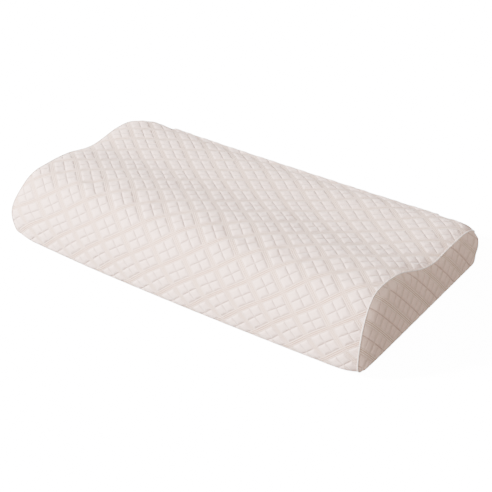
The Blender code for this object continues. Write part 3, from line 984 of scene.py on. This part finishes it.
liner = liner_tube()
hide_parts("inner_liner_sleeve")
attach(liner, "pillow")
for side, word in ((-1, "left"), (1, "right")):
    n = 160
    s = np.linspace(S_LO, S_HI, n, endpoint=False)
    xa, xb = side * 0.2877, side * 0.2885
    rows = [outer(np.full(n, xx), s, 0.0046) for xx in (xa, xb)]
    verts = np.concatenate(rows)
    faces = [(j, (j + 1) % n, n + (j + 1) % n, n + j) for j in range(n)]
    faces += [tuple(range(n))[::-1], tuple(range(n, 2 * n))]
    ob = new_mesh(f"liner_end_knit_{word}", verts, faces, [LINER])
    fix_normals(ob)
    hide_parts(f"inner_liner_end_{word}")
    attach(ob, "pillow")

# ------------------------------------------------------------------------------------------------------------------
# Zip
# ------------------------------------------------------------------------------------------------------------------


def tube_rows(path, radius, sides, closed=False, cap=True):
    """Vertices and quads of a round tube along a path of points."""
    path = np.asarray(path, float)
    n = len(path)
    t = np.gradient(path, axis=0)
    t /= np.linalg.norm(t, axis=1, keepdims=True) + 1e-15
    ref = np.array([0.0, 1.0, 0.0])
    a = np.cross(t, ref)
    bad = np.linalg.norm(a, axis=1) < 0.2
    a[bad] = np.cross(t[bad], np.array([0.0, 0.0, 1.0]))
    a /= np.linalg.norm(a, axis=1, keepdims=True)
    b = np.cross(t, a)
    ang = np.linspace(0, 2 * math.pi, sides, endpoint=False)
    r = np.broadcast_to(np.asarray(radius, float), (n,))
    ring = path[:, None] + r[:, None, None] * (
        np.cos(ang)[None, :, None] * a[:, None] + np.sin(ang)[None, :, None] * b[:, None]
    )
    v = ring.reshape(-1, 3)
    q = []
    for i in range(n - 1):
        for j in range(sides):
            k = (j + 1) % sides
            q.append((i * sides + j, i * sides + k, (i + 1) * sides + k, (i + 1) * sides + j))
    if cap:
        q.append(tuple(range(sides))[::-1])
        q.append(tuple((n - 1) * sides + j for j in range(sides)))
    return v, q


def coil(node, name, sign):
    """Nylon coil of a zip: flattened loops, one every 1.25 mm, sewn along the tape's edge."""
    lo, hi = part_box(node)
    cy, cz = (lo.y + hi.y) / 2, (lo.z + hi.z) / 2
    pitch = 0.00125
    wire = 0.00030
    ry, rz = (hi.y - lo.y) / 2 - wire, (hi.z - lo.z) / 2 - wire
    turns = int((hi.x - lo.x - 0.001) / pitch)
    per = 10
    t = np.arange(turns * per + 1) / per
    x = lo.x + 0.0005 + t * pitch + (0.0 if sign > 0 else pitch / 2 * 0)
    a = 2 * math.pi * t
    path = np.stack([x + 0.00018 * np.sin(a), cy + ry * np.cos(a), cz + sign * rz * -np.sin(a)], -1)
    v, q = tube_rows(path, wire, 5)
    ob = new_mesh(name, v, q, [COIL])
    fix_normals(ob)
    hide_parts(node)
    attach(ob, "pillow")
    return ob


coil("zip_coil_upper", "zip_coil_loops_upper", 1)
coil("zip_coil_lower", "zip_coil_loops_lower", -1)


def tape(node, name):
    """Woven tape: a thin strip with rounded, thinner edges and fine cross ridges."""
    lo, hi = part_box(node)
    nx_, nz_ = 460, 9
    xs_ = np.linspace(lo.x, hi.x, nx_)
    zs = np.linspace(lo.z, hi.z, nz_)
    X, Z = np.meshgrid(xs_, zs, indexing="ij")
    wav = 0.00005 * np.sin(X * 2 * math.pi / 0.0031) * np.sin((Z - lo.z) * 2 * math.pi / 0.003)
    edge = np.minimum(Z - lo.z, hi.z - Z)
    rnd = 0.00010 * (1 - smoothstep(edge, 0.0, 0.0005))
    front = np.stack([X, np.full_like(X, hi.y) - 0.00006 + wav - rnd, Z], -1)
    back = np.stack([X, np.full_like(X, lo.y) + rnd, Z], -1)
    m = nx_ * nz_
    v = np.concatenate([front.reshape(-1, 3), back.reshape(-1, 3)])
    g = quads_of(nx_, nz_)
    faces = [tuple(f) for f in g] + [tuple(f[::-1] + m) for f in g]
    for i in range(nx_ - 1):
        for j in (0, nz_ - 1):
            a, b = i * nz_ + j, (i + 1) * nz_ + j
            faces.append((a, b, b + m, a + m) if j else (b, a, a + m, b + m))
    for j in range(nz_ - 1):
        for i in (0, nx_ - 1):
            a, b = i * nz_ + j, i * nz_ + j + 1
            faces.append((b, a, a + m, b + m) if i else (a, b, b + m, a + m))
    ob = new_mesh(name, v, faces, [TAPE])
    fix_normals(ob)
    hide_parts(node)
    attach(ob, "pillow")
    return ob


tape("zip_tape_upper", "zip_tape_woven_upper")
tape("zip_tape_lower", "zip_tape_woven_lower")


def stitches(node, name):
    """A row of lock stitches: short rounded threads, each dipping into the fabric at its ends."""
    lo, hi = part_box(node)
    cz, cy = (lo.z + hi.z) / 2, (lo.y + hi.y) / 2
    pitch, length = 0.0031, 0.0026
    n = int((hi.x - lo.x) / pitch)
    r = (hi.z - lo.z) / 2 * 0.85
    vs, fs, base = [], [], 0
    for i in range(n):
        x0 = lo.x + (i + 0.5) * pitch - length / 2
        t = np.linspace(0, 1, 7)
        path = np.stack([x0 + t * length, cy - 0.00035 * (np.abs(2 * t - 1) ** 3), cz + 0.00006 * np.sin(i * 2.4) + 0 * t], -1)
        rad = r * np.array([0.55, 0.85, 1, 1, 1, 0.85, 0.55])
        v, q = tube_rows(path, rad, 6)
        vs.append(v)
        fs += [tuple(k + base for k in f) for f in q]
        base += len(v)
    ob = new_mesh(name, np.concatenate(vs), fs, [THREAD])
    fix_normals(ob)
    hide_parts(node)
    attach(ob, "pillow")
    return ob


stitches("zip_stitching_upper", "zip_topstitch_upper")
stitches("zip_stitching_lower", "zip_topstitch_lower")


def tack(node, name):
    """Sewn end tack: a block of close zigzag threads over a rounded core."""
    lo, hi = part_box(node)
    cx, cy = (lo.x + hi.x) / 2, (lo.y + hi.y) / 2
    n = 15
    vs, fs, base = [], [], 0
    hz = (hi.z - lo.z) / (n + 0.5)
    for i in range(n):
        z = lo.z + hz * (i + 0.6)
        t = np.linspace(-1, 1, 9)
        path = np.stack(
            [cx + t * (hi.x - lo.x) / 2 * 0.95, lo.y + 0.0002 + (hi.y - lo.y - 0.00035) * np.sqrt(np.clip(1 - t * t, 0, 1)), z + (0.25 if i % 2 else -0.25) * hz * t],
            -1,
        )
        v, q = tube_rows(path, hz * 0.52, 6)
        vs.append(v)
        fs += [tuple(k + base for k in f) for f in q]
        base += len(v)
    ob = new_mesh(name, np.concatenate(vs), fs, [THREAD])
    fix_normals(ob)
    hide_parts(node)
    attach(ob, "pillow")
    return ob


tack("zip_end_tack_left", "zip_tack_sewn_left")
tack("zip_end_tack_right", "zip_tack_sewn_right")

for node in ("zip_slider", "zip_pull"):
    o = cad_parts[node]
    o.data.materials.clear()
    o.data.materials.append(METAL)

# blank care label: a folded satin ribbon that hangs below the zip and curls a little away from the cover
lo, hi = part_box("care_label")
nx_, nz_ = 27, 23
X, Z = np.meshgrid(np.linspace(lo.x, hi.x, nx_), np.linspace(lo.z, hi.z, nz_), indexing="ij")
drop = (hi.z - Z) / (hi.z - lo.z)
curl = 0.0011 * drop**2 * (0.6 + 0.4 * np.sin((X - lo.x) / (hi.x - lo.x) * math.pi * 1.3 + 0.4))
front = np.stack([X, hi.y + curl, Z], -1)
back = np.stack([X, hi.y + curl - 0.0003, Z], -1)
m = nx_ * nz_
g = quads_of(nx_, nz_)
v = np.concatenate([front.reshape(-1, 3), back.reshape(-1, 3)])
faces = [tuple(f) for f in g] + [tuple(f[::-1] + m) for f in g]
for i in range(nx_ - 1):
    for j in (0, nz_ - 1):
        a, b = i * nz_ + j, (i + 1) * nz_ + j
        faces.append((a, b, b + m, a + m) if j else (b, a, a + m, b + m))
for j in range(nz_ - 1):
    for i in (0, nx_ - 1):
        a, b = i * nz_ + j, i * nz_ + j + 1
        faces.append((b, a, a + m, b + m) if i else (a, b, b + m, a + m))
label = new_mesh("care_label_blank", v, faces, [SATIN])
fix_normals(label)
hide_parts("care_label")
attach(label, "pillow")

# ------------------------------------------------------------------------------------------------------------------
# Floor, light and camera
# ------------------------------------------------------------------------------------------------------------------
fn = Nodes("floor_white")
c = fn.mix(fn.noise(2.0, 2.0, fn.place()), (0.90, 0.90, 0.90, 1), (0.92, 0.92, 0.92, 1))
fn.shader(c, 0.9, spec=0.0)
fn.bsdf.inputs["Emission Color"].default_value = (1, 1, 1, 1)
fn.bsdf.inputs["Emission Strength"].default_value = 14.0
bpy.ops.mesh.primitive_plane_add(size=12, location=(0, 0, -0.0006))
floor = bpy.context.object
floor.name = "floor"
floor.data.materials.append(fn.mat)
floor.visible_diffuse = False  # the bright floor doesn't light the pillow from below
floor.visible_glossy = False

world = bpy.data.worlds.new("studio")
bpy.context.scene.world = world
world.use_nodes = True
wt = world.node_tree
bg = wt.nodes["Background"]
tc = wt.nodes.new("ShaderNodeTexCoord")
sx = wt.nodes.new("ShaderNodeSeparateXYZ")
wt.links.new(tc.outputs["Generated"], sx.inputs[0])
ramp = wt.nodes.new("ShaderNodeMapRange")
ramp.interpolation_type = "SMOOTHSTEP"
ramp.inputs[1].default_value = -0.45
ramp.inputs[2].default_value = 0.35
side_on = wt.nodes.new("ShaderNodeMath")
side_on.operation = "MULTIPLY_ADD"
wt.links.new(sx.outputs[0], side_on.inputs[0])
side_on.inputs[1].default_value = -0.26
wt.links.new(sx.outputs[2], side_on.inputs[2])
front_on = wt.nodes.new("ShaderNodeMath")
front_on.operation = "MULTIPLY_ADD"
wt.links.new(sx.outputs[1], front_on.inputs[0])
front_on.inputs[1].default_value = -0.42
wt.links.new(side_on.outputs[0], front_on.inputs[2])
wt.links.new(front_on.outputs[0], ramp.inputs[0])
wm = wt.nodes.new("ShaderNodeMix")
wm.data_type = "RGBA"
wm.inputs[6].default_value = (0.50, 0.40, 0.35, 1)
wm.inputs[7].default_value = (1.0, 0.97, 0.95, 1)
wt.links.new(ramp.outputs[0], wm.inputs["Factor"])
wt.links.new(wm.outputs[2], bg.inputs[0])
bg.inputs[1].default_value = 0.86


def area(name, loc, target, size, power, colour=(1, 1, 1)):
    d = bpy.data.lights.new(name, "AREA")
    d.shape = "RECTANGLE"
    d.size, d.size_y = size
    d.energy = power
    d.color = colour
    o = bpy.data.objects.new(name, d)
    bpy.context.scene.collection.objects.link(o)
    o.location = loc
    o.rotation_euler = (Vector(target) - Vector(loc)).to_track_quat("-Z", "Y").to_euler()
    return o


area("key", (-2.1, -1.7, 1.75), (0, 0, 0.05), (0.55, 0.55), 560, (1.0, 0.968, 0.945))
area("low front", (0.25, -2.6, 0.45), (0, 0, 0.03), (0.7, 0.5), 68, (1.0, 0.95, 0.925))
area("back right", (1.7, 1.9, 0.8), (0.2, 0, 0.05), (0.8, 0.8), 20, (1.0, 0.93, 0.87))

FOCAL, U0, V0, DIST = 1437.12, 240.54, 251.06, 2.01356
AZ, EL, ROLL = (math.radians(a) for a in (40.4555, 34.6175, -5.3912))
back = Vector((math.sin(AZ) * math.cos(EL), -math.cos(AZ) * math.cos(EL), math.sin(EL)))
right = Vector((math.cos(AZ), math.sin(AZ), 0))
up = back.cross(right)
r2 = right * math.cos(ROLL) + up * math.sin(ROLL)
u2 = -right * math.sin(ROLL) + up * math.cos(ROLL)
cam_data = bpy.data.cameras.new("camera")
cam_data.sensor_width = 36
cam_data.sensor_fit = "HORIZONTAL"
cam_data.lens = FOCAL / 492 * 36
cam_data.shift_x = (246 - U0) / 492
cam_data.shift_y = (V0 - 246) / 492
cam_data.clip_start = 0.05
cam = bpy.data.objects.new("camera", cam_data)
bpy.context.scene.collection.objects.link(cam)
from mathutils import Matrix

m3 = Matrix((r2, u2, back)).transposed()
cam.matrix_world = Matrix.Translation(back * DIST) @ m3.to_4x4()
bpy.context.scene.camera = cam
